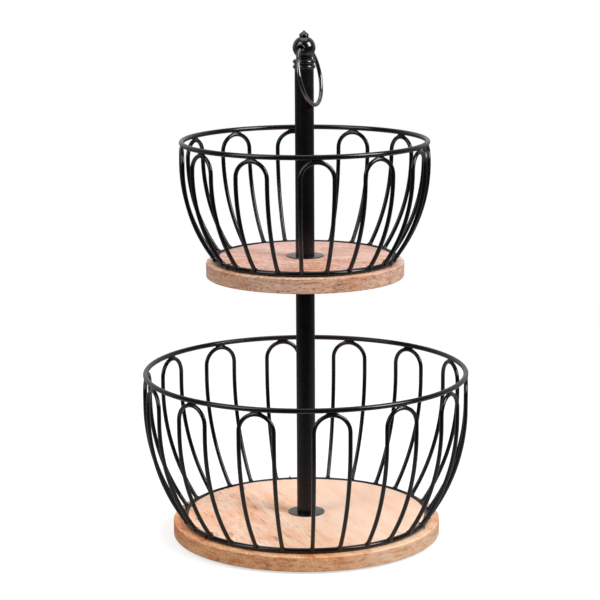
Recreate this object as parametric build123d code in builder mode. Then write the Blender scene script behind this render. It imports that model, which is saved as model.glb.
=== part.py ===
from build123d import *
from math import asin, atan2, cos, degrees, hypot, radians, sin, sqrt
import os

# Two-tier wire basket: two turned boards on one pole, each with a cage of bent wire loops.
# Azimuths are counted from the front (-Y) towards +X.
os.makedirs("parts", exist_ok=True)

# Boards, with a rebate round the edge where the base ring lies
board_thickness = 18.0
rebate_depth = 4.0
lower_board_diameter = 252.0
upper_board_diameter = 184.0
board_edge_round = 1.2
plateau_edge_round = 0.5
bolt_hole_diameter = 6.8
recess_diameter = 20.0
recess_depth = 5.5

# Wire of the cages
rim_wire = 4.7
ring_wire = 5.0
loop_wire = 3.9
weld_gap = 0.1
ring_clearance = 0.5

# Lower cage, its rim's height counted from the underside of its board
lower_rim_diameter = 300.0
lower_rim_height = 155.0
lower_ring_diameter = 230.0
lower_loop_count = 14
lower_arch_width = 32.5
lower_leg_straight = 10.0
lower_turn = 8.0

# Upper cage
upper_rim_diameter = 226.0
upper_rim_height = 125.0
upper_ring_diameter = 167.0
upper_loop_count = 12
upper_arch_width = 30.5
upper_leg_straight = 1.0
upper_turn = 4.7

# Welds: a nugget between each arch and the rim, a collar round each foot
nugget_length = 12.0
nugget_diameter = 3.2
nugget_end_taper = 1.0
nugget_drop_share = 0.35
collar_diameter = 5.6
collar_height = 1.8
collar_skirt = 1.1

# Staples that hold the base rings down
staple_count = 3
staple_wire = 1.0
staple_bend = 0.9
staple_land = 1.0
staple_bite = 7.0
staple_fit = 0.1

# Pole: two tubes, an insert in each end, a flange under each tube
pole_diameter = 17.6
pole_wall = 1.2
lower_pole_length = 228.0
upper_pole_length = 170.0
insert_length = 12.0
insert_fit = 0.05
insert_edge = 0.4
thread_diameter = 6.0
thread_fit = 0.1
thread_reach = 10.0
flange_diameter = 34.5
flange_thickness = 1.0
flange_edge_round = 0.3

# Base bolt and washer
washer_diameter = 16.0
washer_thickness = 1.2
bolt_head_diameter = 11.0
bolt_head_height = 3.3
bolt_head_round = 0.8
socket_sides = 6
socket_width = 4.0
socket_depth = 2.0

# Pads under the lower board
pad_count = 4
pad_diameter = 12.0
pad_thickness = 2.0
pad_circle_diameter = 200.0
pad_edge_round = 0.4

# Finial: sleeve, two beads, neck, ball and pointed tip
sleeve_height = 2.6
bead_diameter = 20.8
bead_height = 4.2
bead_groove_diameter = 17.2
bead_gap = 0.4
neck_diameter = 14.8
neck_height = 3.1
ball_diameter = 21.0
tip_foot_diameter = 7.6
tip_diameter = 8.8
tip_height = 6.0
tip_point_diameter = 0.8
tip_belly_share = 0.3
tip_flank_height_share = 0.68
tip_flank_width_share = 0.5
finial_bore_depth = 9.0

# Ring handle in the cross hole of the ball
handle_diameter = 54.0
handle_wire = 3.7
handle_play = 0.2
handle_rest_gap = 0.3
hole_lip = 0.9
hole_turn = -20.0

# One overrun for every cut
overrun = 1.0

# Heights above the table
lower_under = pad_thickness
lower_floor = lower_under + board_thickness
lower_pole_foot = lower_floor + flange_thickness
upper_under = lower_pole_foot + lower_pole_length
upper_floor = upper_under + board_thickness
upper_pole_foot = upper_floor + flange_thickness
finial_foot = upper_pole_foot + upper_pole_length

# Sizes that follow from the ones above
ledge_height = board_thickness - rebate_depth
ring_rise = ledge_height + ring_wire / 2
plateau_inset = ring_wire / 2 + ring_clearance
staple_outer = ring_wire / 2 + staple_fit + staple_wire / 2
staple_inner = plateau_inset + staple_land + staple_wire / 2
insert_diameter = pole_diameter - 2 * pole_wall - 2 * insert_fit
stud_bore_diameter = thread_diameter + 2 * thread_fit


def polar(radius, azimuth, height):
    angle = radians(azimuth)
    return Vector(radius * sin(angle), -radius * cos(angle), height)


def save(piece, name):
    piece.part.label = name
    export_step(piece.part, f"parts/{name}.step")


def staple_azimuths(turn):
    """Staples stand evenly spaced, the first one opposite the cage's first arch."""
    pitch = 360 / staple_count
    return [turn + 180 + pitch * step for step in range(staple_count)]


def make_board(diameter, ring_diameter, under, turn, has_recess):
    """Board with its rebate, bolt hole, staple holes and, if asked, a bolt recess."""
    ring_radius = ring_diameter / 2
    with BuildPart() as board:
        with BuildSketch(Plane.XY.offset(under)):
            Circle(diameter / 2)
        extrude(amount=ledge_height)
        fillet(board.edges().filter_by(GeomType.CIRCLE), board_edge_round)
        with BuildSketch(Plane.XY.offset(under + ledge_height)):
            Circle(ring_radius - plateau_inset)
        extrude(amount=rebate_depth)
        fillet(board.faces().sort_by(Axis.Z)[-1].edges(), plateau_edge_round)
        with BuildSketch(Plane.XY.offset(under - overrun)):
            Circle(bolt_hole_diameter / 2)
        extrude(amount=board_thickness + 2 * overrun, mode=Mode.SUBTRACT)
        if has_recess:
            with BuildSketch(Plane.XY.offset(under - overrun)):
                Circle(recess_diameter / 2)
            extrude(amount=recess_depth + overrun, mode=Mode.SUBTRACT)
        hole_floor = under + ledge_height - staple_bite - staple_fit
        with BuildSketch(Plane.XY.offset(hole_floor)):
            for azimuth in staple_azimuths(turn):
                for radius in (ring_radius + staple_outer, ring_radius - staple_inner):
                    with Locations(polar(radius, azimuth, 0)):
                        Circle(staple_wire / 2 + staple_fit)
        extrude(amount=board_thickness, mode=Mode.SUBTRACT)
    return board


def make_hoop(diameter, wire, height):
    """Closed round of wire."""
    with BuildPart() as hoop:
        with BuildSketch(Plane.XZ):
            with Locations((diameter / 2, height)):
                Circle(wire / 2)
        revolve(axis=Axis.Z)
    return hoop


def make_nugget(rim_diameter, rim_level):
    """Weld nugget that fills the wedge between an arch's crown and the rim."""
    axis_level = rim_level - rim_wire / 2 - nugget_diameter * nugget_drop_share
    with BuildPart() as nugget:
        with BuildSketch(Plane((0, -rim_diameter / 2, axis_level), z_dir=(1, 0, 0))):
            Circle(nugget_diameter / 2)
        extrude(amount=nugget_length / 2, both=True)
        chamfer(nugget.edges().filter_by(GeomType.CIRCLE), nugget_end_taper)
        with BuildSketch(Plane((0, -rim_diameter / 2, rim_level), z_dir=(1, 0, 0))):
            Circle(rim_wire / 2 + weld_gap)
        extrude(amount=nugget_length, both=True, mode=Mode.SUBTRACT)
    return nugget


def make_collar(foot, upward):
    """Weld collar round a foot: a skirt on the base ring and a cone that dies out in the leg."""
    skirt = ring_wire / 2 - collar_skirt
    mouth = ring_wire / 2
    top = mouth + collar_height
    mouth_radius = collar_diameter / 2
    top_radius = loop_wire / 2 - weld_gap
    across = upward.cross(Vector(0, 0, 1)).normalized()
    with BuildPart() as collar:
        with BuildSketch(Plane(foot, x_dir=across, z_dir=across.cross(upward))):
            with BuildLine():
                Polyline((top_radius, top), (0, top), (0, skirt))
                Polyline((0, skirt), (mouth_radius, skirt), (mouth_radius, mouth), (top_radius, top))
            make_face()
        revolve(axis=Axis(foot, upward))
    return collar


def make_loop(rim_diameter, rim_level, ring_diameter, ring_level, arch_width, leg_straight):
    """Loop at azimuth zero: an arch under the rim and two legs barrelled in to the base ring.

    Each leg stands in a plane through the pole's axis. It drops straight from the arch's spring,
    then follows one arc, tangent to it, that ends on the base ring, which notches the leg's foot.
    """
    crown_level = rim_level - rim_wire / 2 - weld_gap - loop_wire / 2
    spring_level = crown_level - arch_width / 2
    shoulder_level = spring_level - leg_straight
    leg_radius = hypot(rim_diameter / 2, arch_width / 2)
    leg_azimuth = degrees(atan2(arch_width, rim_diameter))
    fall = shoulder_level - ring_level
    draw_in = leg_radius - ring_diameter / 2
    barrel_radius = (fall * fall + draw_in * draw_in) / (2 * draw_in)
    foot_lean = asin(fall / barrel_radius)

    def leg_point(side, share):
        bend = foot_lean * share
        radius = leg_radius - barrel_radius + barrel_radius * cos(bend)
        return polar(radius, side * leg_azimuth, shoulder_level - barrel_radius * sin(bend))

    crown = polar(rim_diameter / 2, 0, crown_level)
    left_spring = polar(leg_radius, -leg_azimuth, spring_level)
    right_spring = polar(leg_radius, leg_azimuth, spring_level)
    welds = [make_nugget(rim_diameter, rim_level)]
    for side in (-1, 1):
        upward = polar(sin(foot_lean), side * leg_azimuth, cos(foot_lean))
        welds.append(make_collar(leg_point(side, 1), upward))
    with BuildPart() as loop:
        with BuildLine() as path:
            ThreePointArc(leg_point(-1, 1), leg_point(-1, 1 / 2), leg_point(-1, 0))
            Line(leg_point(-1, 0), left_spring)
            ThreePointArc(left_spring, crown, right_spring)
            Line(right_spring, leg_point(1, 0))
            ThreePointArc(leg_point(1, 0), leg_point(1, 1 / 2), leg_point(1, 1))
        with BuildSketch(Plane(leg_point(-1, 1), z_dir=path.line % 0)):
            Circle(loop_wire / 2)
        sweep(path=path.line)
        for weld in welds:
            add(weld.part)
        for side in (-1, 1):
            with BuildSketch(Plane(leg_point(side, 1), z_dir=polar(1, side * leg_azimuth + 90, 0))):
                Circle(ring_wire / 2 + weld_gap)
            extrude(amount=collar_diameter, both=True, mode=Mode.SUBTRACT)
    return loop


def make_staples(ring_diameter, under, turn):
    """Staples across a base ring: one leg in the ledge, one in the edge of the plateau."""
    leg_tip = under + ledge_height - staple_bite
    crown = under + ring_rise + ring_wire / 2 + staple_fit + staple_wire / 2
    outer = ring_diameter / 2 + staple_outer
    inner = ring_diameter / 2 - staple_inner
    with BuildPart() as staples:
        for azimuth in staple_azimuths(turn):
            ends = ((outer, leg_tip), (outer, crown), (inner, crown), (inner, leg_tip))
            corners = [polar(radius, azimuth, height) for radius, height in ends]
            with BuildLine() as path:
                FilletPolyline(*corners, radius=staple_bend)
            with BuildSketch(Plane(polar(outer, azimuth, leg_tip), z_dir=(0, 0, 1))):
                Circle(staple_wire / 2)
            sweep(path=path.line)
    return staples


def make_tube(foot, length):
    """One length of the pole."""
    with BuildPart() as tube:
        with BuildSketch(Plane.XY.offset(foot)):
            Circle(pole_diameter / 2)
            Circle(pole_diameter / 2 - pole_wall, mode=Mode.SUBTRACT)
        extrude(amount=length)
    return tube


def make_insert(foot):
    """Threaded insert that closes one end of a tube."""
    with BuildPart() as insert:
        with BuildSketch(Plane.XY.offset(foot)):
            Circle(insert_diameter / 2)
        extrude(amount=insert_length)
        chamfer(insert.edges().filter_by(GeomType.CIRCLE), insert_edge)
        with BuildSketch(Plane.XY.offset(foot - overrun)):
            Circle(stud_bore_diameter / 2)
        extrude(amount=insert_length + 2 * overrun, mode=Mode.SUBTRACT)
    return insert


def make_flange(foot):
    """Flat flange that spreads the tube's foot on the board."""
    with BuildPart() as flange:
        with BuildSketch(Plane.XY.offset(foot)):
            Circle(flange_diameter / 2)
        extrude(amount=flange_thickness)
        fillet(flange.edges().group_by(Axis.Z)[-1], flange_edge_round)
        with BuildSketch(Plane.XY.offset(foot - overrun)):
            Circle(bolt_hole_diameter / 2)
        extrude(amount=flange_thickness + 2 * overrun, mode=Mode.SUBTRACT)
    return flange


def make_stud(bottom, top):
    """Plain stand-in for a length of threaded rod."""
    with BuildPart() as stud:
        with BuildSketch(Plane.XY.offset(bottom)):
            Circle(thread_diameter / 2)
        extrude(amount=top - bottom)
        chamfer(stud.edges().filter_by(GeomType.CIRCLE), insert_edge)
    return stud


def make_washer():
    """Washer at the roof of the bolt recess."""
    with BuildPart() as washer:
        with BuildSketch(Plane.XY.offset(lower_under + recess_depth - washer_thickness)):
            Circle(washer_diameter / 2)
            Circle(bolt_hole_diameter / 2, mode=Mode.SUBTRACT)
        extrude(amount=washer_thickness)
    return washer


def make_bolt():
    """Button-head bolt that draws the lower tube down on the board."""
    head_top = lower_under + recess_depth - washer_thickness
    head_base = head_top - bolt_head_height
    with BuildPart() as bolt:
        with BuildSketch(Plane.XY.offset(head_base)):
            Circle(bolt_head_diameter / 2)
        extrude(amount=bolt_head_height)
        fillet(bolt.edges().group_by(Axis.Z)[0], bolt_head_round)
        with BuildSketch(Plane.XY.offset(head_top)):
            Circle(thread_diameter / 2)
        extrude(amount=lower_pole_foot + thread_reach - head_top)
        with BuildSketch(Plane.XY.offset(head_base)):
            RegularPolygon(socket_width / 2, socket_sides, major_radius=False)
        extrude(amount=socket_depth, mode=Mode.SUBTRACT)
    return bolt


def make_pads():
    """Round pads under the lower board."""
    with BuildPart() as pads:
        with BuildSketch():
            with PolarLocations(pad_circle_diameter / 2, pad_count, start_angle=180 / pad_count):
                Circle(pad_diameter / 2)
        extrude(amount=pad_thickness)
        fillet(pads.edges().group_by(Axis.Z)[0], pad_edge_round)
    return pads


# Levels of the finial's profile, counted from its foot
bead_starts = (sleeve_height, sleeve_height + bead_height + bead_gap)
neck_start = bead_starts[-1] + bead_height
ball_radius = ball_diameter / 2
ball_rise = neck_start + neck_height + sqrt(ball_radius**2 - (neck_diameter / 2) ** 2)
tip_start = ball_rise + sqrt(ball_radius**2 - (tip_foot_diameter / 2) ** 2)
ball_centre = Vector(0, 0, finial_foot + ball_rise)

# The handle's centre line bows by this much along the cross hole
handle_radius = handle_diameter / 2
handle_bow = handle_radius - sqrt(handle_radius**2 - ball_radius**2)
handle_hole_diameter = handle_wire + handle_bow + 2 * handle_play
handle_drop = handle_radius - handle_bow / 2
rest_reach = pole_diameter / 2 + handle_wire / 2 + handle_rest_gap
rest_lean = degrees(asin(rest_reach / (handle_drop + handle_radius)))
hole_direction = polar(1, hole_turn, 0)
handle_side = polar(1, hole_turn + 90, 0)


def make_finial():
    """Finial: one turned profile, the handle's cross hole through the ball, a bore for the stud."""
    tip_top = tip_start + tip_height
    neck_top = neck_start + neck_height
    tip_radius = tip_diameter / 2
    pole_radius = pole_diameter / 2
    neck_radius = neck_diameter / 2
    groove_radius = bead_groove_diameter / 2
    tip_foot = (tip_foot_diameter / 2, tip_start)
    tip_point = (tip_point_diameter / 2, tip_top)
    belly = (tip_radius, tip_start + tip_height * tip_belly_share)
    flank = (tip_radius * tip_flank_width_share, tip_start + tip_height * tip_flank_height_share)
    with BuildPart() as finial:
        with BuildSketch(Plane((0, 0, finial_foot), x_dir=(1, 0, 0), z_dir=(0, -1, 0))):
            with BuildLine():
                Polyline((0, 0), (pole_radius, 0), (pole_radius, sleeve_height))
                Line((pole_radius, sleeve_height), (groove_radius, sleeve_height))
                for start in bead_starts:
                    crest = (bead_diameter / 2, start + bead_height / 2)
                    ThreePointArc((groove_radius, start), crest, (groove_radius, start + bead_height))
                Line((groove_radius, bead_starts[0] + bead_height), (groove_radius, bead_starts[1]))
                Polyline((groove_radius, neck_start), (neck_radius, neck_start), (neck_radius, neck_top))
                ThreePointArc((neck_radius, neck_top), (ball_radius, ball_rise), tip_foot)
                Spline(tip_foot, belly, flank, tip_point)
                Polyline(tip_point, (0, tip_top), (0, 0))
            make_face()
        revolve(axis=Axis.Z)
        with BuildSketch(Plane.XY.offset(finial_foot)):
            Circle(stud_bore_diameter / 2)
        extrude(amount=finial_bore_depth, mode=Mode.SUBTRACT)
        with BuildSketch(Plane(ball_centre, z_dir=hole_direction)):
            Circle(handle_hole_diameter / 2)
        extrude(amount=ball_diameter, both=True, mode=Mode.SUBTRACT)
        fillet(finial.edges(Select.LAST).filter_by(GeomType.LINE, reverse=True), hole_lip)
    return finial


def make_handle():
    """Ring handle at rest: it hangs from the cross hole and leans on the side of the tube."""
    lean = radians(rest_lean)
    down = handle_side * sin(lean) - Vector(0, 0, cos(lean))
    with BuildPart(Plane(ball_centre + down * handle_drop, z_dir=hole_direction.cross(down))) as handle:
        Torus(handle_radius, handle_wire / 2)
    return handle


# Boards
lower_board = make_board(lower_board_diameter, lower_ring_diameter, lower_under, lower_turn, True)
save(lower_board, "lower_board")
upper_board = make_board(upper_board_diameter, upper_ring_diameter, upper_under, upper_turn, False)
save(upper_board, "upper_board")

# Rims, base rings and staples
lower_rim_level = lower_under + lower_rim_height
upper_rim_level = upper_under + upper_rim_height
lower_ring_level = lower_under + ring_rise
upper_ring_level = upper_under + ring_rise
save(make_hoop(lower_rim_diameter, rim_wire, lower_rim_level), "lower_rim")
save(make_hoop(upper_rim_diameter, rim_wire, upper_rim_level), "upper_rim")
save(make_hoop(lower_ring_diameter, ring_wire, lower_ring_level), "lower_base_ring")
save(make_hoop(upper_ring_diameter, ring_wire, upper_ring_level), "upper_base_ring")
save(make_staples(lower_ring_diameter, lower_under, lower_turn), "lower_staples")
save(make_staples(upper_ring_diameter, upper_under, upper_turn), "upper_staples")

# Wire loops of both cages
lower_loop = make_loop(
    rim_diameter=lower_rim_diameter,
    rim_level=lower_rim_level,
    ring_diameter=lower_ring_diameter,
    ring_level=lower_ring_level,
    arch_width=lower_arch_width,
    leg_straight=lower_leg_straight,
)
upper_loop = make_loop(
    rim_diameter=upper_rim_diameter,
    rim_level=upper_rim_level,
    ring_diameter=upper_ring_diameter,
    ring_level=upper_ring_level,
    arch_width=upper_arch_width,
    leg_straight=upper_leg_straight,
)
cages = (
    ("lower", lower_loop, lower_loop_count, lower_turn),
    ("upper", upper_loop, upper_loop_count, upper_turn),
)
for tier, pattern, count, turn in cages:
    for index in range(count):
        with BuildPart() as wire_loop:
            add(pattern.part, rotation=(0, 0, turn + index * 360 / count))
        save(wire_loop, f"{tier}_loop_{index + 1:02d}")

# Pole
save(make_flange(lower_floor), "lower_flange")
save(make_flange(upper_floor), "upper_flange")
save(make_tube(lower_pole_foot, lower_pole_length), "lower_pole")
save(make_tube(upper_pole_foot, upper_pole_length), "upper_pole")
save(make_insert(lower_pole_foot), "lower_pole_foot_insert")
save(make_insert(upper_under - insert_length), "lower_pole_top_insert")
save(make_insert(upper_pole_foot), "upper_pole_foot_insert")
save(make_insert(finial_foot - insert_length), "upper_pole_top_insert")

# Fasteners and pads
save(make_bolt(), "base_bolt")
save(make_washer(), "base_washer")
save(make_stud(upper_under - thread_reach, upper_pole_foot + thread_reach), "joining_stud")
save(make_stud(finial_foot - thread_reach, finial_foot + finial_bore_depth - insert_edge), "finial_stud")
save(make_pads(), "base_pads")

# Finial and its ring handle
save(make_finial(), "finial")
save(make_handle(), "ring_handle")
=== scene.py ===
from math import asin, atan2, cos, hypot, pi, radians, sin

import bmesh
import bpy
import numpy
from mathutils import Matrix, Vector


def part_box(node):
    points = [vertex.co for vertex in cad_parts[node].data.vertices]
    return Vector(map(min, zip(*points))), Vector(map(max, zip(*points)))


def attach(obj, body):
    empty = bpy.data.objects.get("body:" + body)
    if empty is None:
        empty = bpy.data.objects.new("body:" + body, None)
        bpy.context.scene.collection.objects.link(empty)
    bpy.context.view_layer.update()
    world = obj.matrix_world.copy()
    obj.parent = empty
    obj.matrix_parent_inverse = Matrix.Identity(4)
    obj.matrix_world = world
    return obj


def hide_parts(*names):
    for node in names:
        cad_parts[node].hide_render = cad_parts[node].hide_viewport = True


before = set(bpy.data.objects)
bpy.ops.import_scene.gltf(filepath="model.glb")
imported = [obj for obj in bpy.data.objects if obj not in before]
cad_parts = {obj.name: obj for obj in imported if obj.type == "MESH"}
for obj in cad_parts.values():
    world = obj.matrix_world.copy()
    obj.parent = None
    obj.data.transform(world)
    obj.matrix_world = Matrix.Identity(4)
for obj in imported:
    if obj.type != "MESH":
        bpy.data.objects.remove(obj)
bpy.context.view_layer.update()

# Two-tier wire basket: black coated wire cages on oiled mango-wood boards.
# Everything is in metres, +Z up, with azimuths counted from the front (-Y) towards +X.
MM = 0.001
TIERS = ("lower", "upper")

# Wire loops: what the frame's boxes don't tell
ARCH_WIDTH = {"lower": 32.5 * MM, "upper": 30.5 * MM}
LEG_STRAIGHT = {"lower": 10.0 * MM, "upper": 1.0 * MM}
LOOP_WIRE = 3.9 * MM
WELD_GAP = 0.1 * MM
ARCH_STEPS = 20
LEG_STEPS = 30
WIRE_SIDES = 20
HOOP_STEPS = 288
SPAN_JOIN = 0.02 * MM

# Weld collars round the loops' feet: they swell fast to their peak, then run out up the leg in a hollow
COLLAR_FLARE = 0.85 * MM
COLLAR_START = 1.2 * MM
COLLAR_END = 4.4 * MM
COLLAR_PEAK = 0.3
COLLAR_HOLLOW = 1.6
COLLAR_ROUGHNESS = 0.7

# Weld nuggets between arches and rims: round ended, with a small blunt tip
NUGGET_LENGTH = 12.0 * MM
NUGGET_RADIUS = 1.4 * MM
NUGGET_DROP = 1.1 * MM
NUGGET_ROUNDING = 0.4
NUGGET_TIP = 0.004
WELD_RIPPLE = 0.6 * MM
WELD_RIPPLE_SIZE = 2.6 * MM

# Finial ball, the rolled lips of its cross hole, and the ring handle
BALL_RADIUS = 10.5 * MM
LIP_RADIUS = 3.6 * MM
LIP_WIRE = 0.9 * MM
RING_STEPS = 192
LIP_STEPS = 64

# Boards: what their boxes don't tell
BOARD_REBATE = 4.0 * MM
BOARD_EDGE_ROUND = 1.2 * MM
PLATEAU_EDGE_ROUND = 0.5 * MM
BOLT_HOLE_RADIUS = 3.4 * MM
RECESS_RADIUS = 10.0 * MM
RECESS_DEPTH = 5.5 * MM
RING_CLEARANCE = 0.5 * MM
BOARD_STEPS = 360
ROUND_STEPS = 6
EDGE_SUPPORT = 0.25 * MM

# Copies of CAD nodes: what counts as one point, and the bend from which an edge stays sharp
COPY_JOIN = 0.002 * MM
COPY_CREASE = radians(35)

# Figure of the wood, with sizes across the grain, along it and through its layers. Real mango fibres,
# flecks and pores are about half as wide: they are drawn coarser so that they show. The fibres' relief is
# a share of the pores' depth.
WANDER_SIZE = 90 * MM
WANDER_REACH = 14 * MM
BAND = (12 * MM, 90 * MM, 3 * MM)
FIBRE = (0.9 * MM, 36 * MM, 0.9 * MM)
CLOUD = (28 * MM, 80 * MM, 12 * MM)
SMUDGE = (7 * MM, 30 * MM, 5 * MM)
FLECK = (1.5 * MM, 3.6 * MM, 1.3 * MM)
PORE_SPACING = 4.0 * MM
PORE_RUN = 50 * MM
PORE_SHARE = 0.19
PORE_DEPTH = 0.12 * MM
FIBRE_RELIEF = 0.3
WOOD_ROUGHNESS = (0.48, 0.62)
EDGE_BLEND = 4 * MM

# How each part of the figure, and the painted shade on the rim's upright faces, tints the wood,
# and the levels of its pattern between which it comes in
FIGURE_TINTS = {
    # Painted shade: the rim's upright faces are drawn darker than its ledge, for the lower light on them
    "upright painted shade": ("#DCD8D4", 0.9, 0.4),
    "heart side": ("#FFECD5", 30 * MM, -45 * MM),
    "clouds": ("#F6E2D0", 0.46, 0.66),
    "fibres": ("#D9BDA7", 0.52, 0.74),
    "smudges": ("#C6A89B", 0.58, 0.76),
    "flecks": ("#BA9578", 0.50, 0.66),
    # Honey patch: a yellower oval round a given middle, through the wood's whole thickness
    "honey patch": ("#FDF6DA", 1.25, 0.65),
}
BAND_LEVELS = (0.34, 0.50, 0.66)
PORE_TINT = "#7C543C"
PORE_CLOUD_LEVELS = (0.34, 0.52)
PORE_CHANCE_LEVELS = (0.28, 0.50)
UNDERSIDE_LEVELS = (-0.9, -0.5)

# What tells the two boards apart. Tones run from the lightest band to the darkest, calm is the share of
# figure that the sapwood side keeps, and flecked is how far flecks show on the face and on the rim.
BOARD_WOOD = {
    "lower": {
        "grain_azimuth": radians(20),
        "place_in_log": (310 * MM, 70 * MM, 20 * MM),
        "edge_start": 112 * MM,
        "face_tones": ("#FFE0C9", "#FFD9C0", "#FACFB3"),
        "edge_tones": ("#FFDCBC", "#F8CCA9", "#DDA47C"),
        "calm": 0.12,
        "flecked": (0.15, 0.55),
        "patch_middle": (2 * MM, -85 * MM, 0.0),
        "patch_reach": (30 * MM, 50 * MM, 1.0),
        "patch_strength": 0.25,
    },
    "upper": {
        "grain_azimuth": radians(84),
        "place_in_log": (50 * MM, 420 * MM, 110 * MM),
        "edge_start": 81 * MM,
        "face_tones": ("#F0CABD", "#E8BFB1", "#DAAE9D"),
        "edge_tones": ("#F4DFDA", "#ECD3CD", "#D2B1A4"),
        "calm": 0.6,
        "flecked": (1.0, 0.75),
        "patch_middle": (14 * MM, -60 * MM, 0.0),
        "patch_reach": (13 * MM, 38 * MM, 1.0),
        "patch_strength": 0.5,
    },
}

# Black finishes: size of the orange peel, size of the cloudy wear, and the share by which wear shifts
# the roughness either way
PEEL_SIZE = 1.6 * MM
WEAR_SIZE = 18 * MM
WEAR_TONE_LEVELS = (0.35, 0.65)
WEAR_GLOSS_LEVELS = (0.3, 0.7)
GLOSS_SPREAD = 0.2

# Zinc's cloudy patches, and the rubber's grain, which is drawn three times coarser than real
ZINC_CLOUD_SIZE = 2.5 * MM
ZINC_ROUGHNESS = (0.28, 0.45)
RUBBER_GRAIN_SIZE = 2 / 3 * MM
RUBBER_GRAIN_DEPTH = 0.05 * MM
SOFT_TONE_LEVELS = (0.3, 0.7)

# Camera that matches the photograph, as a 600 pixel square picture
PICTURE = 600
FOCAL_PIXELS = 2144.1
SENSOR = 36.0
CAMERA_PLACE = Vector((-4.96, -1959.3, 620.3)) * MM
CAMERA_PITCH = radians(11.395)
CAMERA_ROLL = radians(-0.319)
CAMERA_REACH = 100

# Lamps: size, watts, place and the point that they face
LAMPS = {
    "key": ((0.9, 1.15), 35.5, (1.46, -0.73, 1.43), (0, 0, 0.3)),
    "fill": ((1.2, 1.8), 21, (-1.45, -1.00, 1.50), (0, 0, 0.25)),
    "overhead": ((1.5, 1.5), 10, (0.0, 0.3, 2.2), (0, 0, 0.2)),
}

# Surround: its light on the object, and the shine that glossy surfaces see in it. The shine grows from the
# room behind the camera to the back, and is full from this part of a ray's heading on.
WORLD_LIGHT = 0.47
BACK_SHINE = 0.55
ROOM_SHINE = 0.05
BACK_HEADING = 0.7

# Floor: where it runs out into the surround, and where its shine ends towards the camera
FLOOR_RADIUS = 20.0
FLOOR_SIDES = 64
FLOOR_TONE = "#B0B0B0"
FLOOR_LIFT = 0.62
FLOOR_SHINE = 0.2
FLOOR_FADE = (0.3, 1.2)
FRONT_FADE = (-0.15, -0.45)


def linear(hex_colour):
    """sRGB hex to the linear colour, with its alpha, that a shader takes."""
    shares = [int(hex_colour[i:i + 2], 16) / 255 for i in (1, 3, 5)]
    return tuple(c / 12.92 if c <= 0.04045 else ((c + 0.055) / 1.055) ** 2.4 for c in shares) + (1.0,)


def add(tree, kind, inputs=None, stops=(), **settings):
    """Adds a node with its settings, then sets or links its inputs.

    A node given as a value stands for its first output, and a list links each of its items. Stops are
    the positions and sRGB tones of a colour ramp, from its low end up.
    """
    node = tree.nodes.new(kind)
    for name, value in settings.items():
        setattr(node, name, value)
    for key, value in (inputs or {}).items():
        for item in value if isinstance(value, list) else [value]:
            if isinstance(item, bpy.types.Node):
                item = item.outputs[0]
            if isinstance(item, bpy.types.NodeSocket):
                tree.links.new(item, node.inputs[key])
            else:
                node.inputs[key].default_value = item
    if stops:
        elements = node.color_ramp.elements
        elements[0].position = stops[0][0]
        elements[1].position = stops[-1][0]
        for position, tone in stops[1:-1]:
            elements.new(position)
        for element, (position, tone) in zip(elements, stops):
            element.color = linear(tone)
    return node


def new_material(name):
    """Empty material with its tree."""
    material = bpy.data.materials.new(name)
    material.use_nodes = True
    material.node_tree.nodes.clear()
    return material, material.node_tree


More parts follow.
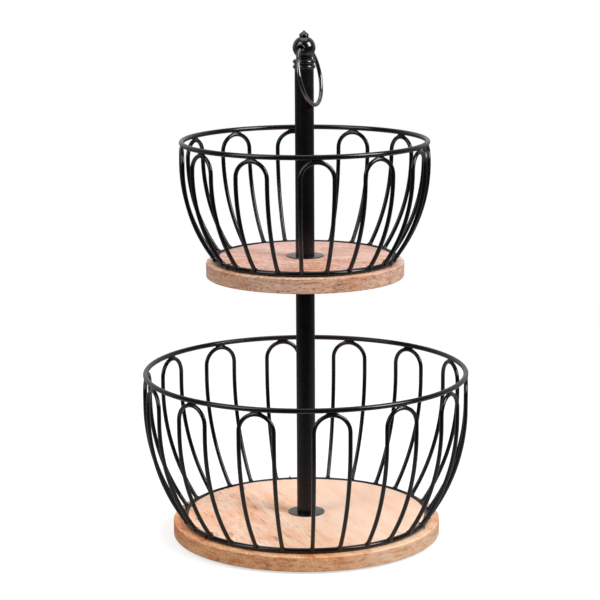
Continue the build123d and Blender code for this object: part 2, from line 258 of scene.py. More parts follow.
def mango_wood(name, grain_azimuth, place_in_log, edge_start, face_tones, edge_tones, calm, flecked,
               patch_middle, patch_reach, patch_strength):
    """Mango wood, turned, sanded and oiled.

    The pattern is solid: flat-sawn layers a few millimetres thick, with their grain along one level
    direction. So the face has long streaks and short open pores, and the rim has thin level bands. The
    heart side is browner and more figured than the pale sapwood side, and layers that come up steeply
    leave flecks. The rim was cut last and drank more oil, so it is a warmer orange than the face. Its
    upright faces are drawn darker than its ledge: that darkening is painted shade, for the lower light
    that falls on them. The honey patch is a yellower oval that the wood's whole thickness shares.
    """
    material, tree = new_material(name)
    point = add(tree, "ShaderNodeTexCoord").outputs["Object"]
    turned = add(tree, "ShaderNodeMapping", {"Vector": point, "Rotation": (0, 0, pi / 2 - grain_azimuth)})
    across = add(tree, "ShaderNodeSeparateXYZ", {0: turned}).outputs["Y"]
    in_log = add(tree, "ShaderNodeVectorMath", {0: turned, 1: place_in_log}, operation="ADD")
    wander = add(tree, "ShaderNodeTexNoise", {"Vector": in_log, "Scale": 1 / WANDER_SIZE, "Detail": 1.0})
    wander = add(tree, "ShaderNodeVectorMath", {0: wander.outputs["Color"], 1: (0.5, 0.5, 0.5)},
                 operation="SUBTRACT")
    wander = add(tree, "ShaderNodeVectorMath", {0: wander, "Scale": WANDER_REACH}, operation="SCALE")
    wood = add(tree, "ShaderNodeVectorMath", {0: in_log, 1: wander}, operation="ADD")

    def streaks(size, detail, roughness=0.6):
        """Noise that is drawn out along the grain and thinned to the wood's layers."""
        width, length, depth = size
        drawn_out = add(tree, "ShaderNodeMapping", {"Vector": wood,
                                                    "Scale": (width / length, 1, width / depth)})
        noise = add(tree, "ShaderNodeTexNoise", {"Vector": drawn_out, "Scale": 1 / width,
                                                 "Detail": detail, "Roughness": roughness})
        return noise.outputs["Fac"]

    bands = streaks(BAND, 3.0)
    fibres = streaks(FIBRE, 2.0, roughness=0.7)
    clouds = streaks(CLOUD, 3.0)
    smudges = streaks(SMUDGE, 2.0)
    flecks = streaks(FLECK, 2.0)
    pore_frame = add(tree, "ShaderNodeMapping", {"Vector": wood, "Scale": (PORE_SPACING / PORE_RUN, 1, 1)})
    pores = add(tree, "ShaderNodeTexVoronoi", {"Vector": pore_frame, "Scale": 1 / PORE_SPACING})
    pore_chance = add(tree, "ShaderNodeSeparateColor", {"Color": pores.outputs["Color"]}).outputs[0]

    normal = add(tree, "ShaderNodeNewGeometry").outputs["Normal"]
    facing = add(tree, "ShaderNodeSeparateXYZ", {0: normal}).outputs["Z"]
    flat = add(tree, "ShaderNodeVectorMath", {0: point, 1: (1, 1, 0)}, operation="MULTIPLY")
    from_axis = add(tree, "ShaderNodeVectorMath", {0: flat}, operation="LENGTH").outputs["Value"]
    aside = add(tree, "ShaderNodeVectorMath", {0: point, 1: patch_middle}, operation="SUBTRACT")
    aside = add(tree, "ShaderNodeVectorMath", {0: aside, 1: patch_reach}, operation="DIVIDE")
    from_patch = add(tree, "ShaderNodeVectorMath", {0: aside}, operation="LENGTH").outputs["Value"]

    edge = 1.0
    edge_levels = (edge_start, edge_start + EDGE_BLEND)
    for pattern, (low, high) in ((facing, UNDERSIDE_LEVELS), (from_axis, edge_levels)):
        edge = add(tree, "ShaderNodeMapRange", {"Value": pattern, "From Min": low, "From Max": high,
                                                "To Max": edge}, interpolation_type="SMOOTHSTEP")
    heart_levels = FIGURE_TINTS["heart side"][1:]
    figure = add(tree, "ShaderNodeMapRange", {"Value": across, "From Min": heart_levels[0],
                                              "From Max": heart_levels[1], "To Min": calm},
                 interpolation_type="SMOOTHSTEP")
    fleck_share = add(tree, "ShaderNodeMapRange", {"Value": edge, "To Min": flecked[0],
                                                   "To Max": flecked[1]})
    fleck_share = add(tree, "ShaderNodeMath", {0: fleck_share, 1: figure}, operation="MULTIPLY")
    open_pores = figure
    for pattern, (low, high) in ((clouds, PORE_CLOUD_LEVELS), (pore_chance, PORE_CHANCE_LEVELS),
                                 (pores.outputs["Distance"], (PORE_SHARE, 0.0))):
        open_pores = add(tree, "ShaderNodeMapRange", {"Value": pattern, "From Min": low, "From Max": high,
                                                      "To Max": open_pores},
                         interpolation_type="SMOOTHSTEP")

    tones = []
    for light, middle, dark in (face_tones, edge_tones):
        stops = list(zip(BAND_LEVELS, (dark, middle, light)))
        tones.append(add(tree, "ShaderNodeValToRGB", {"Fac": bands}, stops))
    colour = add(tree, "ShaderNodeMix", {0: edge, 6: tones[0], 7: tones[1]}, data_type="RGBA").outputs[2]
    patterns = {
        # Painted shade: the rim's upright faces are darkened by their tilt
        "upright painted shade": (facing, edge),
        "heart side": (across, edge),
        "clouds": (clouds, figure),
        "fibres": (fibres, figure),
        "smudges": (smudges, figure),
        "flecks": (flecks, fleck_share),
        "honey patch": (from_patch, patch_strength),
    }
    for part, (pattern, most) in patterns.items():
        tint, low, high = FIGURE_TINTS[part]
        amount = add(tree, "ShaderNodeMapRange", {"Value": pattern, "From Min": low, "From Max": high,
                                                  "To Max": most}, interpolation_type="SMOOTHSTEP")
        colour = add(tree, "ShaderNodeMix", {0: amount, 6: colour, 7: linear(tint)},
                     data_type="RGBA", blend_type="MULTIPLY").outputs[2]
    colour = add(tree, "ShaderNodeMix", {0: open_pores, 6: colour, 7: linear(PORE_TINT)},
                 data_type="RGBA", blend_type="MULTIPLY").outputs[2]

    relief = add(tree, "ShaderNodeMath", {0: fibres, 1: FIBRE_RELIEF}, operation="MULTIPLY")
    relief = add(tree, "ShaderNodeMath", {0: relief, 1: open_pores}, operation="SUBTRACT")
    bump = add(tree, "ShaderNodeBump", {"Height": relief, "Strength": 0.4, "Distance": PORE_DEPTH})
    roughness = add(tree, "ShaderNodeMapRange", {"Value": fibres, "To Min": WOOD_ROUGHNESS[0],
                                                 "To Max": WOOD_ROUGHNESS[1]})
    shader = add(tree, "ShaderNodeBsdfPrincipled", {
        "Base Color": colour,
        "Roughness": roughness,
        "IOR": 1.5,
        "Specular IOR Level": 0.35,
        "Normal": bump,
    })
    add(tree, "ShaderNodeOutputMaterial", {"Surface": shader})
    return material


def black_finish(name, roughness, specular, tones, ripple, metallic=0.0):
    """Black finish on steel: near black, with a fine orange-peel ripple in its gloss.

    A baked coat takes its shine from its clear resin. Black nickel plate is a dark metal, so it mirrors
    the lamps as brighter lines.
    """
    material, tree = new_material(name)
    point = add(tree, "ShaderNodeTexCoord").outputs["Object"]
    peel = add(tree, "ShaderNodeTexNoise", {"Vector": point, "Scale": 1 / PEEL_SIZE, "Detail": 1.0})
    wear = add(tree, "ShaderNodeTexNoise", {"Vector": point, "Scale": 1 / WEAR_SIZE, "Detail": 3.0,
                                            "Roughness": 0.6}).outputs["Fac"]
    bump = add(tree, "ShaderNodeBump", {"Height": peel.outputs["Fac"], "Strength": 0.3,
                                        "Distance": ripple})
    tone = add(tree, "ShaderNodeValToRGB", {"Fac": wear}, list(zip(WEAR_TONE_LEVELS, tones)))
    low, high = WEAR_GLOSS_LEVELS
    gloss = add(tree, "ShaderNodeMapRange", {"Value": wear, "From Min": low, "From Max": high,
                                             "To Min": roughness * (1 - GLOSS_SPREAD),
                                             "To Max": roughness * (1 + GLOSS_SPREAD)})
    shader = add(tree, "ShaderNodeBsdfPrincipled", {
        "Base Color": tone,
        "Metallic": metallic,
        "Roughness": gloss,
        "IOR": 1.5,
        "Specular IOR Level": specular,
        "Normal": bump,
    })
    add(tree, "ShaderNodeOutputMaterial", {"Surface": shader})
    return material


def zinc_steel(name):
    """Zinc-plated steel, barrel polished: bluish grey metal with cloudy gloss."""
    material, tree = new_material(name)
    point = add(tree, "ShaderNodeTexCoord").outputs["Object"]
    cloud = add(tree, "ShaderNodeTexNoise", {"Vector": point, "Scale": 1 / ZINC_CLOUD_SIZE,
                                             "Detail": 3.0}).outputs["Fac"]
    tone = add(tree, "ShaderNodeValToRGB", {"Fac": cloud},
               list(zip(SOFT_TONE_LEVELS, ("#8F9296", "#B9BCC0"))))
    gloss = add(tree, "ShaderNodeMapRange", {"Value": cloud, "To Min": ZINC_ROUGHNESS[0],
                                             "To Max": ZINC_ROUGHNESS[1]})
    shader = add(tree, "ShaderNodeBsdfPrincipled", {"Base Color": tone, "Metallic": 1.0,
                                                    "Roughness": gloss})
    add(tree, "ShaderNodeOutputMaterial", {"Surface": shader})
    return material


def pad_rubber(name):
    """Moulded rubber: dark grey, matte, with a fine grain."""
    material, tree = new_material(name)
    point = add(tree, "ShaderNodeTexCoord").outputs["Object"]
    grain = add(tree, "ShaderNodeTexNoise", {"Vector": point, "Scale": 1 / RUBBER_GRAIN_SIZE,
                                             "Detail": 2.0}).outputs["Fac"]
    tone = add(tree, "ShaderNodeValToRGB", {"Fac": grain},
               list(zip(SOFT_TONE_LEVELS, ("#1D1D1E", "#2A2A2B"))))
    bump = add(tree, "ShaderNodeBump", {"Height": grain, "Strength": 0.4, "Distance": RUBBER_GRAIN_DEPTH})
    shader = add(tree, "ShaderNodeBsdfPrincipled", {"Base Color": tone, "Roughness": 0.75, "Normal": bump})
    add(tree, "ShaderNodeOutputMaterial", {"Surface": shader})
    return material


WIRE_COAT = black_finish("black_powder_coat_on_wire", roughness=0.16, specular=0.50,
                         tones=("#070508", "#0C0A0E"), ripple=0.003 * MM)
TUBE_COAT = black_finish("black_powder_coat_on_tube", roughness=0.30, specular=0.30,
                         tones=("#060408", "#0A070D"), ripple=0.03 * MM)
FLANGE_COAT = black_finish("black_powder_coat_on_flange", roughness=0.17, specular=1.00,
                           tones=("#100D12", "#18141B"), ripple=0.02 * MM)
GLOSS_COAT = black_finish("black_gloss_enamel", roughness=0.17, specular=1.00,
                          tones=("#030304", "#060507"), ripple=0.003 * MM)
NICKEL = black_finish("black_nickel_plate", roughness=0.15, specular=0.50,
                      tones=("#68666C", "#78767C"), ripple=0.002 * MM, metallic=1.0)
ZINC = zinc_steel("zinc_plated_steel")
RUBBER = pad_rubber("moulded_rubber")
WOODS = {tier: mango_wood(f"oiled_mango_wood_{tier}", **BOARD_WOOD[tier]) for tier in TIERS}


def polar(radius, azimuth, height):
    return Vector((radius * sin(azimuth), -radius * cos(azimuth), height))


def node_round(node):
    """Outer radius, lowest and highest level of a round CAD node on the pole's axis."""
    low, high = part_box(node)
    return (high.x - low.x) / 2, low.z, high.z


def link(piece):
    bpy.context.scene.collection.objects.link(piece)
    return piece


def place(piece, nodes, body="stand"):
    """Puts a finished piece on its body, in place of the CAD nodes that it stands for."""
    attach(piece, body)
    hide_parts(*nodes)
    return piece


def run_tree(tree, name, values):
    """Plain mesh that a Geometry Nodes tree makes from the given inputs."""
    carrier = link(bpy.data.objects.new(name + "_carrier", bpy.data.meshes.new(name + "_carrier")))
    modifier = carrier.modifiers.new("maker", "NODES")
    modifier.node_group = tree
    sockets = {item.name: item.identifier for item in tree.interface.items_tree if item.in_out == "INPUT"}
    for key, value in values.items():
        modifier[sockets[key]] = value
    bpy.context.view_layer.update()
    ready = carrier.evaluated_get(bpy.context.evaluated_depsgraph_get())
    mesh = bpy.data.meshes.new_from_object(ready)
    mesh.name = name
    bpy.data.objects.remove(carrier)
    return link(bpy.data.objects.new(name, mesh))


def new_tree(name, inputs):
    """Geometry Nodes tree with named inputs, by kind, and one mesh output."""
    tree = bpy.data.node_groups.new(name, "GeometryNodeTree")
    for kind, names in inputs.items():
        for item in names:
            tree.interface.new_socket(name=item, in_out="INPUT", socket_type=f"NodeSocket{kind}")
    tree.interface.new_socket(name="Mesh", in_out="OUTPUT", socket_type="NodeSocketGeometry")
    return tree, add(tree, "NodeGroupInput").outputs


def hoop_tree():
    """Closed round of wire, made from its radius, level and wire diameter."""
    tree, given = new_tree("hoop_maker", {
        "Float": ("Radius", "Level", "Wire Diameter"),
        "Int": ("Steps", "Sides"),
        "Material": ("Finish",),
    })
    round_line = add(tree, "GeometryNodeCurvePrimitiveCircle", {"Resolution": given["Steps"],
                                                                "Radius": given["Radius"]})
    lift = add(tree, "ShaderNodeCombineXYZ", {"Z": given["Level"]})
    lifted = add(tree, "GeometryNodeTransform", {"Geometry": round_line, "Translation": lift})
    half = add(tree, "ShaderNodeMath", {0: given["Wire Diameter"], 1: 0.5}, operation="MULTIPLY")
    section = add(tree, "GeometryNodeCurvePrimitiveCircle", {"Resolution": given["Sides"],
                                                             "Radius": half})
    wire = add(tree, "GeometryNodeCurveToMesh", {"Curve": lifted, "Profile Curve": section})
    real = add(tree, "GeometryNodeRealizeInstances", {"Geometry": wire})
    smooth = add(tree, "GeometryNodeSetShadeSmooth", {"Geometry": real})
    coated = add(tree, "GeometryNodeSetMaterial", {"Geometry": smooth, "Material": given["Finish"]})
    add(tree, "NodeGroupOutput", {0: coated})
    return tree


def loop_tree():
    """Ring of wire loops: one arch with two legs, swept, with uneven welds at its feet and crown,
    and repeated round the pole's axis."""
    mirrored_inputs = ("Foot", "Belly", "Shoulder", "Spring", "Collar Foot", "Collar Middle", "Collar Top",
                       "Nugget End")
    tree, given = new_tree("loop_ring_maker", {
        "Vector": mirrored_inputs + ("Crown", "Nugget Middle"),
        "Float": ("Wire Diameter", "Flare", "Flare Peak", "Nugget Radius", "Ripple", "Ripple Size",
                  "Collar Ripple", "First Azimuth"),
        "Int": ("Count", "Arch Steps", "Leg Steps", "Sides"),
        "Material": ("Finish",),
    })
    mirrored = {}
    for name in mirrored_inputs:
        mirrored[name] = add(tree, "ShaderNodeVectorMath", {0: given[name], 1: (-1, 1, 1)},
                             operation="MULTIPLY")

    spans = []
    for side in (given, mirrored):
        spans.append(add(tree, "GeometryNodeCurveArc", {
            "Resolution": given["Leg Steps"], "Start": side["Foot"], "Middle": side["Belly"],
            "End": side["Shoulder"]}, mode="POINTS"))
        spans.append(add(tree, "GeometryNodeCurvePrimitiveLine", {"Start": side["Shoulder"],
                                                                  "End": side["Spring"]}))
    spans.append(add(tree, "GeometryNodeCurveArc", {
        "Resolution": given["Arch Steps"], "Start": given["Spring"], "Middle": given["Crown"],
        "End": mirrored["Spring"]}, mode="POINTS"))
    joined = add(tree, "GeometryNodeJoinGeometry", {0: spans})
    edges = add(tree, "GeometryNodeCurveToMesh", {"Curve": joined})
    welded = add(tree, "GeometryNodeMergeByDistance", {"Geometry": edges, "Distance": SPAN_JOIN})
    path = add(tree, "GeometryNodeMeshToCurve", {"Mesh": welded})
    half = add(tree, "ShaderNodeMath", {0: given["Wire Diameter"], 1: 0.5}, operation="MULTIPLY")
    section = add(tree, "GeometryNodeCurvePrimitiveCircle", {"Resolution": given["Sides"],
                                                             "Radius": half})
    wire = add(tree, "GeometryNodeCurveToMesh", {"Curve": path, "Profile Curve": section,
                                                 "Fill Caps": True})

    along = add(tree, "GeometryNodeSplineParameter").outputs["Factor"]
    unit = add(tree, "GeometryNodeCurvePrimitiveCircle", {"Resolution": given["Sides"], "Radius": 1.0})
    rising = add(tree, "ShaderNodeMapRange", {"Value": along, "From Max": given["Flare Peak"]},
                 interpolation_type="SMOOTHSTEP")
    falling = add(tree, "ShaderNodeMapRange", {"Value": along, "From Min": 1.0,
                                               "From Max": given["Flare Peak"]})
    hollow = add(tree, "ShaderNodeMath", {0: falling, 1: COLLAR_HOLLOW}, operation="POWER")
    flare_share = add(tree, "ShaderNodeMath", {0: hollow, 1: rising}, operation="MINIMUM")
    collar_radius = add(tree, "ShaderNodeMath", {0: flare_share, 1: given["Flare"], 2: half},
                        operation="MULTIPLY_ADD")
    collars = []
    for side in (given, mirrored):
        collar_line = add(tree, "GeometryNodeCurveQuadraticBezier", {
            "Resolution": given["Arch Steps"], "Start": side["Collar Foot"],
            "Middle": side["Collar Middle"], "End": side["Collar Top"]})
        collar = add(tree, "GeometryNodeCurveToMesh", {
            "Curve": collar_line, "Profile Curve": unit, "Scale": collar_radius, "Fill Caps": True})
        collars.append(add(tree, "GeometryNodeStoreNamedAttribute", {
            "Geometry": collar, "Name": "weld", "Value": given["Collar Ripple"]},
            data_type="FLOAT", domain="POINT"))

    nugget_line = add(tree, "GeometryNodeCurveArc", {
        "Resolution": given["Arch Steps"], "Start": given["Nugget End"], "Middle": given["Nugget Middle"],
        "End": mirrored["Nugget End"]}, mode="POINTS")
    centred = add(tree, "ShaderNodeMath", {0: along, 1: 2.0, 2: -1.0}, operation="MULTIPLY_ADD")
    square = add(tree, "ShaderNodeMath", {0: centred, 1: centred}, operation="MULTIPLY")
    rest = add(tree, "ShaderNodeMath", {0: 1 + NUGGET_TIP, 1: square}, operation="SUBTRACT")
    rounding = add(tree, "ShaderNodeMath", {0: rest, 1: NUGGET_ROUNDING}, operation="POWER")
    nugget_radius = add(tree, "ShaderNodeMath", {0: rounding, 1: given["Nugget Radius"]},
                        operation="MULTIPLY")
    nugget = add(tree, "GeometryNodeCurveToMesh", {
        "Curve": nugget_line, "Profile Curve": unit, "Scale": nugget_radius, "Fill Caps": True})
    marked = add(tree, "GeometryNodeStoreNamedAttribute", {
        "Geometry": nugget, "Name": "weld", "Value": 1.0}, data_type="FLOAT", domain="POINT")
    one_loop = add(tree, "GeometryNodeJoinGeometry", {0: [wire, marked, *collars]})

    places = add(tree, "GeometryNodePoints", {"Count": given["Count"]})
    index = add(tree, "GeometryNodeInputIndex")
    step = add(tree, "ShaderNodeMath", {0: 2 * pi, 1: given["Count"]}, operation="DIVIDE")
    angle = add(tree, "ShaderNodeMath", {0: index, 1: step, 2: given["First Azimuth"]},
                operation="MULTIPLY_ADD")
    turn = add(tree, "ShaderNodeCombineXYZ", {"Z": angle})
    ring = add(tree, "GeometryNodeInstanceOnPoints", {"Points": places, "Instance": one_loop,
                                                      "Rotation": turn})
    real = add(tree, "GeometryNodeRealizeInstances", {"Geometry": ring})

    fineness = add(tree, "ShaderNodeMath", {0: 1.0, 1: given["Ripple Size"]}, operation="DIVIDE")
    lumps = add(tree, "ShaderNodeTexNoise", {"Scale": fineness, "Detail": 1.0}).outputs["Fac"]
    rise = add(tree, "ShaderNodeMath", {0: lumps, 1: 0.5}, operation="SUBTRACT")
    on_weld = add(tree, "GeometryNodeInputNamedAttribute", {"Name": "weld"}, data_type="FLOAT")
    weld_rise = add(tree, "ShaderNodeMath", {0: rise, 1: on_weld.outputs["Attribute"]},
                    operation="MULTIPLY")
    ripple = add(tree, "ShaderNodeMath", {0: weld_rise, 1: given["Ripple"]}, operation="MULTIPLY")
    outward = add(tree, "GeometryNodeInputNormal")
    push = add(tree, "ShaderNodeVectorMath", {0: outward, "Scale": ripple}, operation="SCALE")
    uneven = add(tree, "GeometryNodeSetPosition", {"Geometry": real, "Offset": push})
    unmarked = add(tree, "GeometryNodeRemoveAttribute", {"Geometry": uneven, "Name": "weld"})
    smooth = add(tree, "GeometryNodeSetShadeSmooth", {"Geometry": unmarked})
    coated = add(tree, "GeometryNodeSetMaterial", {"Geometry": smooth, "Material": given["Finish"]})
    add(tree, "NodeGroupOutput", {0: coated})
    return tree


HOOPS = hoop_tree()
LOOPS = loop_tree()


def make_hoop(node, name):
    """Rim or base ring, from the CAD node's box."""
    outer, low, high = node_round(node)
    wire = high - low
    piece = run_tree(HOOPS, name, {
        "Radius": outer - wire / 2,
        "Level": (low + high) / 2,
        "Wire Diameter": wire,
        "Steps": HOOP_STEPS,
        "Sides": WIRE_SIDES,
        "Finish": WIRE_COAT,
    })
    return place(piece, [node])


def turned_hoop(name, radius, wire, steps, middle, axis, material):
    """Closed ring of wire on any axis."""
    piece = run_tree(HOOPS, name, {
        "Radius": radius,
        "Level": 0.0,
        "Wire Diameter": wire,
        "Steps": steps,
        "Sides": WIRE_SIDES,
        "Finish": material,
    })
    turn = Vector((0, 0, 1)).rotation_difference(axis).to_matrix().to_4x4()
    piece.data.transform(Matrix.Translation(middle) @ turn)
    return piece


def make_ring_handle():
    """Ring handle on the axis and middle of its CAD mesh, and the lips of the hole that it hangs in.

    The ring's axis is the direction along which its points spread least.
    """
    low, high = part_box("ring_handle")
    middle = (low + high) / 2
    offsets = numpy.array([vertex.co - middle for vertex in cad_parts["ring_handle"].data.vertices])
    axis = Vector(numpy.linalg.eigh(offsets.T @ offsets)[1][:, 0])
    wire = 2 * abs(offsets @ numpy.array(axis)).max()
    reach = numpy.linalg.norm(offsets, axis=1).max()
    ring = turned_hoop("swing_ring", reach - wire / 2, wire, RING_STEPS, middle, axis, NICKEL)
    place(ring, ["ring_handle"], "handle")

    along_hole = axis.cross(Vector((0, 0, 1))).normalized()
    hanging = axis.cross(along_hole).normalized()
    ball_middle = middle - hanging * (middle.xy.dot(hanging.xy) / hanging.xy.length_squared)
    lip_reach = (BALL_RADIUS ** 2 - LIP_RADIUS ** 2) ** 0.5
    for name, way in (("front_hole_lip", 1), ("back_hole_lip", -1)):
        lip = turned_hoop(name, LIP_RADIUS, LIP_WIRE, LIP_STEPS, ball_middle + along_hole * way * lip_reach,
                          along_hole, NICKEL)
        place(lip, [])


def make_loops(tier):
    """All wire loops of one cage, with their welds, as one piece."""
    nodes = sorted(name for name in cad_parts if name.startswith(f"{tier}_loop_"))
    rim_outer, rim_low, rim_high = node_round(f"{tier}_rim")
    ring_outer, ring_low, ring_high = node_round(f"{tier}_base_ring")
    rim_wire = rim_high - rim_low
    rim_radius = rim_outer - rim_wire / 2
    ring_radius = ring_outer - (ring_high - ring_low) / 2
    ring_level = (ring_low + ring_high) / 2
    low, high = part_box(nodes[0])
    middle = (low + high) / 2
    first_azimuth = atan2(middle.x, -middle.y)

    width = ARCH_WIDTH[tier]
    crown_level = rim_low - WELD_GAP - LOOP_WIRE / 2
    spring_level = crown_level - width / 2
    shoulder_level = spring_level - LEG_STRAIGHT[tier]
    leg_radius = hypot(rim_radius, width / 2)
    leg_azimuth = atan2(width / 2, rim_radius)
    fall = shoulder_level - ring_level
    draw_in = leg_radius - ring_radius
    barrel_radius = (fall * fall + draw_in * draw_in) / (2 * draw_in)
    foot_lean = asin(fall / barrel_radius)

    def leg_point(share):
        bend = foot_lean * share
        radius = leg_radius - barrel_radius * (1 - cos(bend))
        return polar(radius, leg_azimuth, shoulder_level - barrel_radius * sin(bend))

    def above_foot(distance):
        return leg_point(1 - distance / (barrel_radius * foot_lean))

    nugget_turn = NUGGET_LENGTH / 2 / rim_radius
    piece = run_tree(LOOPS, f"{tier}_wire_loops", {
        "Foot": leg_point(1),
        "Belly": leg_point(1 / 2),
        "Shoulder": leg_point(0),
        "Spring": polar(leg_radius, leg_azimuth, spring_level),
        "Crown": polar(rim_radius, 0, crown_level),
        "Collar Foot": above_foot(COLLAR_START),
        "Collar Middle": above_foot((COLLAR_START + COLLAR_END) / 2),
        "Collar Top": above_foot(COLLAR_END),
        "Nugget End": polar(rim_radius, nugget_turn, rim_low - NUGGET_DROP),
        "Nugget Middle": polar(rim_radius, 0, rim_low - NUGGET_DROP),
        "Wire Diameter": LOOP_WIRE,
        "Flare": COLLAR_FLARE,
        "Flare Peak": COLLAR_PEAK,
        "Nugget Radius": NUGGET_RADIUS,
        "Ripple": WELD_RIPPLE,
        "Ripple Size": WELD_RIPPLE_SIZE,
        "Collar Ripple": COLLAR_ROUGHNESS,
        "First Azimuth": first_azimuth,
        "Count": len(nodes),
        "Arch Steps": ARCH_STEPS,
        "Leg Steps": LEG_STEPS,
        "Sides": WIRE_SIDES,
        "Finish": WIRE_COAT,
    })
    return place(piece, nodes)


def lathe(name, profile, steps, material):
    """Turned solid: a closed profile of (radius, level) spun round the pole's axis."""
    shape = bmesh.new()
    azimuths = [2 * pi * step / steps for step in range(steps)]
    rings = []
    for radius, level in profile:
        rings.append([shape.verts.new(polar(radius, azimuth, level)) for azimuth in azimuths])
    for ring, following in zip(rings, rings[1:] + rings[:1]):
        for step in range(steps):
            after = (step + 1) % steps
            shape.faces.new((ring[step], ring[after], following[after], following[step]))
    bmesh.ops.recalc_face_normals(shape, faces=shape.faces)
    for face in shape.faces:
        face.smooth = True
    mesh = bpy.data.meshes.new(name)
    shape.to_mesh(mesh)
    shape.free()
    mesh.materials.append(material)
    return link(bpy.data.objects.new(name, mesh))


def rounded(centre, radius, start, end):
    """Points of a round edge in the profile, with a support point before and after it."""
    angles = [start + (end - start) * step / ROUND_STEPS for step in range(ROUND_STEPS + 1)]
    points = [(centre[0] + radius * cos(a), centre[1] + radius * sin(a)) for a in angles]
    turning = 1 if end > start else -1

    def ahead(point, angle, distance):
        return (point[0] - turning * sin(angle) * distance, point[1] + turning * cos(angle) * distance)

    return [ahead(points[0], start, -EDGE_SUPPORT)] + points + [ahead(points[-1], end, EDGE_SUPPORT)]


def make_board(tier):
    """Turned board with its rebate, round edges, bolt hole and, below, the bolt recess."""
    node = f"{tier}_board"
    outer, under, top = node_round(node)
    ring_outer, ring_low, ring_high = node_round(f"{tier}_base_ring")
    ledge = top - BOARD_REBATE
    plateau = ring_outer - (ring_high - ring_low) - RING_CLEARANCE
    edge, rim = BOARD_EDGE_ROUND, PLATEAU_EDGE_ROUND
    hole, recess = BOLT_HOLE_RADIUS, RECESS_RADIUS
    profile = rounded((outer - edge, under + edge), edge, -pi / 2, 0)
    profile += rounded((outer - edge, ledge - edge), edge, 0, pi / 2)
    profile += [(plateau + EDGE_SUPPORT, ledge), (plateau, ledge), (plateau, ledge + EDGE_SUPPORT)]
    profile += rounded((plateau - rim, top - rim), rim, 0, pi / 2)
    profile += [(hole + EDGE_SUPPORT, top), (hole, top), (hole, top - EDGE_SUPPORT)]
    if tier == "lower":
        roof = under + RECESS_DEPTH
        profile += [(hole, roof + EDGE_SUPPORT), (hole, roof), (hole + EDGE_SUPPORT, roof)]
        profile += [(recess - EDGE_SUPPORT, roof), (recess, roof), (recess, roof - EDGE_SUPPORT)]
        profile += [(recess, under + EDGE_SUPPORT), (recess, under), (recess + EDGE_SUPPORT, under)]
    else:
        profile += [(hole, under + EDGE_SUPPORT), (hole, under), (hole + EDGE_SUPPORT, under)]
    piece = lathe(f"{tier}_mango_board", profile, BOARD_STEPS, WOODS[tier])
    return place(piece, [node])


def dress_copy(node, name, material):
    """Smooth-shaded copy of a CAD node: its loose triangles merged, its creases kept sharp."""
    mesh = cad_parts[node].data.copy()
    mesh.name = name
    shape = bmesh.new()
    shape.from_mesh(mesh)
    bmesh.ops.remove_doubles(shape, verts=shape.verts, dist=COPY_JOIN)
    for face in shape.faces:
        face.smooth = True
    for seam in shape.edges:
        seam.smooth = len(seam.link_faces) == 2 and seam.calc_face_angle(0) < COPY_CREASE
    shape.to_mesh(mesh)
    shape.free()
    mesh.materials.clear()
    mesh.materials.append(material)
    return place(link(bpy.data.objects.new(name, mesh)), [node])


def repaint(node, material):
    """New material on a CAD node that keeps its own shape."""
    for material_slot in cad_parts[node].material_slots:
        material_slot.material = material


def seen_directly(tree):
    """One for rays from the camera or off a glossy or clear surface, zero for the light itself."""
    rays = add(tree, "ShaderNodeLightPath").outputs
    seen = rays["Is Camera Ray"]
    for other in ("Is Glossy Ray", "Is Transmission Ray"):
        seen = add(tree, "ShaderNodeMath", {0: seen, 1: rays[other]}, operation="MAXIMUM")
    return seen


def make_floor():
    """Pale floor that keeps the stand's shadow and runs out into the white surround."""
    material, tree = new_material("pale_floor")
    camera_ray = add(tree, "ShaderNodeLightPath").outputs["Is Camera Ray"]
    point = add(tree, "ShaderNodeTexCoord").outputs["Object"]
    depth = add(tree, "ShaderNodeSeparateXYZ", {0: point}).outputs["Y"]
    distance = add(tree, "ShaderNodeVectorMath", {0: point}, operation="LENGTH").outputs["Value"]

    card = add(tree, "ShaderNodeBsdfPrincipled", {"Base Color": linear(FLOOR_TONE), "Roughness": 0.9,
                                                  "Specular IOR Level": 0.0})
    lift = add(tree, "ShaderNodeMath", {0: camera_ray, 1: FLOOR_LIFT}, operation="MULTIPLY")
    glow = add(tree, "ShaderNodeEmission", {"Color": (1, 1, 1, 1), "Strength": lift})
    near = add(tree, "ShaderNodeAddShader", {0: card, 1: glow})
    shine = add(tree, "ShaderNodeMapRange", {"Value": depth, "From Min": FRONT_FADE[0], "From Max": 0.0,
                                             "To Min": ROOM_SHINE, "To Max": FLOOR_SHINE},
                interpolation_type="SMOOTHSTEP")
    shown = add(tree, "ShaderNodeMath", {0: shine, 1: camera_ray}, operation="MAXIMUM")
    far = add(tree, "ShaderNodeEmission", {"Color": (1, 1, 1, 1), "Strength": shown})

    beyond = add(tree, "ShaderNodeMapRange", {"Value": distance, "From Min": FLOOR_FADE[0],
                                              "From Max": FLOOR_FADE[1]},
                 interpolation_type="SMOOTHSTEP")
    ahead = add(tree, "ShaderNodeMapRange", {"Value": depth, "From Min": FRONT_FADE[0],
                                             "From Max": FRONT_FADE[1]},
                interpolation_type="SMOOTHSTEP")
    ahead = add(tree, "ShaderNodeMath", {0: ahead, 1: camera_ray}, operation="SUBTRACT", use_clamp=True)
    outside = add(tree, "ShaderNodeMath", {0: beyond, 1: ahead}, operation="MAXIMUM")
    surround_share = add(tree, "ShaderNodeMath", {0: outside, 1: seen_directly(tree)},
                         operation="MULTIPLY")
    both = add(tree, "ShaderNodeMixShader", {0: surround_share, 1: near, 2: far})
    add(tree, "ShaderNodeOutputMaterial", {"Surface": both})
    material.cycles.emission_sampling = "NONE"

    mesh = bpy.data.meshes.new("floor")
    shape = bmesh.new()
    bmesh.ops.create_circle(shape, cap_ends=True, radius=FLOOR_RADIUS, segments=FLOOR_SIDES)
    shape.to_mesh(mesh)
    shape.free()
    mesh.materials.append(material)
    link(bpy.data.objects.new("floor", mesh))


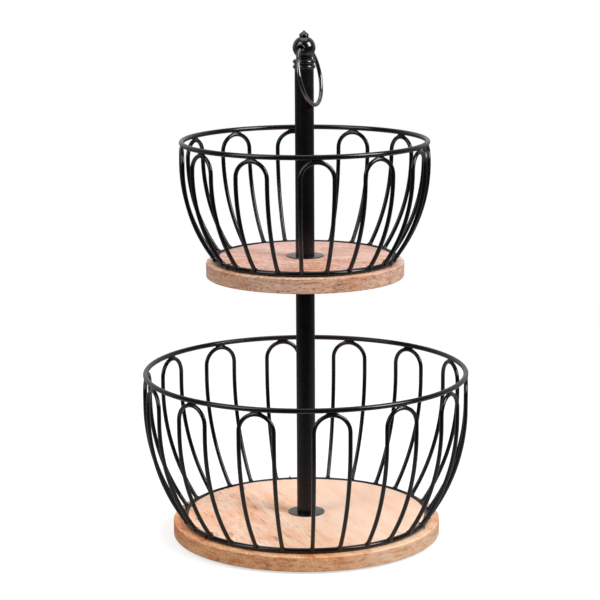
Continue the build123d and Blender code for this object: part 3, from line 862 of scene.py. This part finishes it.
def make_world():
    """White studio surround, dimmer in reflections towards the room behind the camera."""
    world = bpy.data.worlds.new("studio")
    bpy.context.scene.world = world
    world.use_nodes = True
    tree = world.node_tree
    tree.nodes.clear()
    camera_ray = add(tree, "ShaderNodeLightPath").outputs["Is Camera Ray"]
    heading = add(tree, "ShaderNodeTexCoord").outputs["Generated"]
    depth = add(tree, "ShaderNodeSeparateXYZ", {0: heading}).outputs["Y"]
    shine = add(tree, "ShaderNodeMapRange", {"Value": depth, "From Min": 0.0, "From Max": BACK_HEADING,
                                             "To Min": ROOM_SHINE, "To Max": BACK_SHINE},
                interpolation_type="SMOOTHSTEP")
    shown = add(tree, "ShaderNodeMath", {0: shine, 1: camera_ray}, operation="MAXIMUM")
    strength = add(tree, "ShaderNodeMapRange", {"Value": seen_directly(tree), "To Min": WORLD_LIGHT,
                                                "To Max": shown})
    background = add(tree, "ShaderNodeBackground", {"Color": (1, 1, 1, 1), "Strength": strength})
    add(tree, "ShaderNodeOutputWorld", {"Surface": background})


def make_lamp(name, size, watts, position, aim):
    """Soft rectangular lamp at a place, turned to face a point."""
    data = bpy.data.lights.new(name, "AREA")
    data.shape = "RECTANGLE"
    data.size, data.size_y = size
    data.energy = watts
    lamp = link(bpy.data.objects.new(name, data))
    turn = (Vector(aim) - Vector(position)).to_track_quat("-Z", "Y").to_matrix().to_4x4()
    lamp.matrix_world = Matrix.Translation(position) @ turn


def make_camera():
    """Camera at the photograph's place: looks along +Y, pitched down and rolled a little."""
    right = Vector((1, 0, 0))
    up = Vector((0, sin(CAMERA_PITCH), cos(CAMERA_PITCH)))
    backward = Vector((0, -cos(CAMERA_PITCH), sin(CAMERA_PITCH)))
    c, s = cos(CAMERA_ROLL), sin(CAMERA_ROLL)
    axes = Matrix((right * c + up * s, up * c - right * s, backward)).transposed()
    data = bpy.data.cameras.new("camera")
    data.sensor_width = SENSOR
    data.sensor_fit = "HORIZONTAL"
    data.lens = FOCAL_PIXELS / PICTURE * SENSOR
    data.clip_end = CAMERA_REACH
    camera = link(bpy.data.objects.new("camera", data))
    camera.matrix_world = Matrix.Translation(CAMERA_PLACE) @ axes.to_4x4()
    bpy.context.scene.camera = camera


for tier in TIERS:
    make_board(tier)
    make_hoop(f"{tier}_rim", f"{tier}_rim_wire")
    make_hoop(f"{tier}_base_ring", f"{tier}_base_wire")
    make_loops(tier)
    dress_copy(f"{tier}_pole", f"{tier}_pole_tube", TUBE_COAT)
    dress_copy(f"{tier}_flange", f"{tier}_pole_flange", FLANGE_COAT)
    dress_copy(f"{tier}_staples", f"{tier}_ring_staples", WIRE_COAT)
    repaint(f"{tier}_pole_foot_insert", ZINC)
    repaint(f"{tier}_pole_top_insert", ZINC)
dress_copy("finial", "turned_finial", GLOSS_COAT)
make_ring_handle()
dress_copy("base_pads", "foot_pads", RUBBER)
dress_copy("base_bolt", "button_bolt", ZINC)
dress_copy("base_washer", "bolt_washer", ZINC)
repaint("joining_stud", ZINC)
repaint("finial_stud", ZINC)

make_floor()
make_world()
for name, (size, watts, position, aim) in LAMPS.items():
    make_lamp(name, size, watts, position, aim)
make_camera()
bpy.context.scene.view_settings.view_transform = "Standard"
